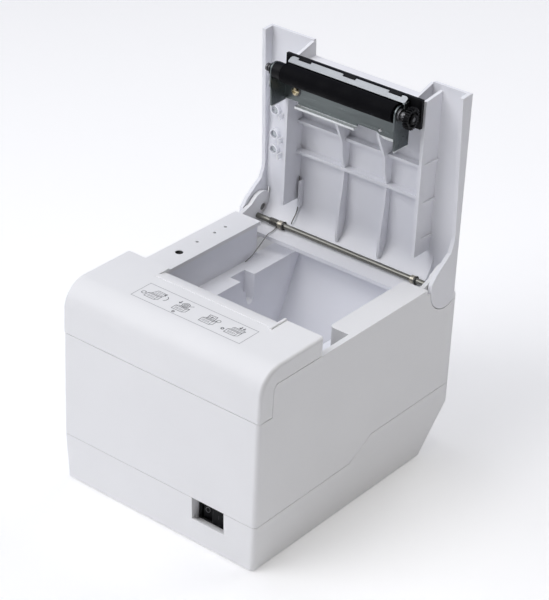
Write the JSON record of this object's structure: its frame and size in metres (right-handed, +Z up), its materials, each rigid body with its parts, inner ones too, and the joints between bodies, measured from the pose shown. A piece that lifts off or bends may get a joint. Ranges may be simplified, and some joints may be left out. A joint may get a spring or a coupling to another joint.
{
  "type": "receipt printer",
  "caption": "Desktop thermal receipt printer: a boxy white case with its paper cover swung open on rear lugs, showing the rubber platen, the tear blade and the empty roll bucket.",
  "frame": {"origin": "on the surface it stands on, under the middle of the machine's outline with the cover open", "axes": "+X to the right seen from the front, +Y to the back, +Z up; the open cover stands up along +Z"},
  "size_m": [0.145, 0.1848, 0.2345],
  "materials": {
    "case_white": "fine satin moulded ABS, off-white",
    "inner_white": "satin moulded ABS, off-white",
    "black_plastic": "black moulded plastic",
    "port_shell": "pressed, plated sheet",
    "grey_rubber": "dull dark grey rubber",
    "roller_rubber": "ground black rubber",
    "circuit_board": "green solder-masked glass-epoxy board",
    "zinc_plate": "zinc-plated sheet steel, greenish grey",
    "screw_steel": "turned steel",
    "spring_steel": "dark drawn spring wire",
    "blade_steel": "bright ground blade steel",
    "brass": "yellow-passivated or brass",
    "heatsink": "bare extruded aluminium",
    "clear_plastic": "clear moulded light pipe"
  },
  "bodies": {
    "chassis": {"base_tray": "case_white", "upper_shell": "case_white", "front_cap": "case_white", "paper_bucket": "inner_white", "foot_front_left": "grey_rubber", "foot_front_right": "grey_rubber", "foot_rear_left": "grey_rubber", "foot_rear_right": "grey_rubber", "base_screw_front_left": "screw_steel", "base_screw_front_right": "screw_steel", "base_screw_rear_left": "screw_steel", "base_screw_rear_right": "screw_steel", "switch_housing": "black_plastic", "rear_panel": "black_plastic", "power_socket": "black_plastic", "usb_socket": "port_shell", "drawer_socket": "black_plastic", "network_socket": "port_shell", "interface_board": "circuit_board", "main_board": "circuit_board", "button_board": "circuit_board", "tact_switch": "black_plastic", "mechanism_frame": "zinc_plate", "head_spring_left": "spring_steel", "head_spring_right": "spring_steel", "feed_motor": "screw_steel", "cutter_frame": "zinc_plate", "cutter_motor": "screw_steel", "paper_sensor": "black_plastic", "hinge_rod": "screw_steel", "rod_collar_left": "brass", "rod_collar_right": "brass", "rod_clip_left": "spring_steel", "rod_clip_right": "spring_steel", "hinge_spring": "spring_steel"},
    "cover": {"cover_shell": "case_white", "hinge_pin_left": "screw_steel", "hinge_pin_right": "screw_steel", "platen_bracket": "zinc_plate", "bracket_screw_left": "brass", "bracket_screw_right": "brass", "blade_holder": "black_plastic", "fixed_blade": "blade_steel", "platen_bush_left": "black_plastic", "platen_bush_right": "screw_steel", "light_pipe_1": "clear_plastic", "light_pipe_2": "clear_plastic", "light_pipe_3": "clear_plastic", "hinge_spring_arm": "spring_steel"},
    "platen": {"platen_shaft": "screw_steel", "platen_roller": "roller_rubber", "platen_gear": "black_plastic"},
    "feed_button": {"feed_button": "case_white"},
    "rocker": {"power_rocker": "black_plastic"},
    "print_head": {"thermal_head": "heatsink"},
    "idler": {"idler_gear": "black_plastic"},
    "pinion": {"motor_pinion": "black_plastic"},
    "cutter_blade": {"moving_blade": "blade_steel"},
    "cutter_drive": {"cutter_pinion": "brass"},
    "switch_plunger": {"tact_plunger": "black_plastic"}
  },
  "joints": [
    {"name": "cover_hinge", "type": "hinge", "parent": "chassis", "child": "cover", "pos_m": [0, 0.08, 0.1165], "axis": [1, 0, 0], "range_deg": [0, 87], "stiffness_Nm_per_rad": 0.04, "springref_deg": -59.99},
    {"name": "platen_spin", "type": "hinge", "parent": "cover", "child": "platen", "pos_m": [0, 0.06, 0.2216], "axis": [1, 0, 0], "continuous": true},
    {"name": "feed_button_press", "type": "slide", "parent": "cover", "child": "feed_button", "axis": [0, -1, 0], "range_m": [0, 0.001], "stiffness_N_per_m": 300},
    {"name": "power_rocker_tilt", "type": "hinge", "parent": "chassis", "child": "rocker", "pos_m": [0.0377, -0.0829, 0.0222], "axis": [0, 0, 1], "range_deg": [0, 12]},
    {"name": "switch_plunger_press", "type": "slide", "parent": "chassis", "child": "switch_plunger", "axis": [0, 0, -1], "range_m": [0, 0.0007], "stiffness_N_per_m": 400},
    {"name": "print_head_tilt", "type": "hinge", "parent": "chassis", "child": "print_head", "pos_m": [0, -0.035, 0.0895], "axis": [1, 0, 0], "range_deg": [0, 4], "stiffness_Nm_per_rad": 0.5, "springref_deg": -11.46},
    {"name": "idler_spin", "type": "hinge", "parent": "chassis", "child": "idler", "pos_m": [0.0496, -0.034, 0.0864], "axis": [1, 0, 0], "continuous": true},
    {"name": "pinion_spin", "type": "hinge", "parent": "chassis", "child": "pinion", "pos_m": [0.0496, -0.0411, 0.0738], "axis": [1, 0, 0], "continuous": true},
    {"name": "cutter_slide", "type": "slide", "parent": "chassis", "child": "cutter_blade", "axis": [0, 1, 0], "range_m": [0, 0.0056]},
    {"name": "cutter_spin", "type": "hinge", "parent": "chassis", "child": "cutter_drive", "pos_m": [0, -0.062, 0.106], "axis": [0, 0, 1], "range_deg": [-1, 66]}
  ],
  "couplings": [
    {"joint": "pinion_spin", "follows": "idler_spin", "ratio": -2.5},
    {"joint": "cutter_spin", "follows": "cutter_slide", "rad_per_m": 200}
  ]
}
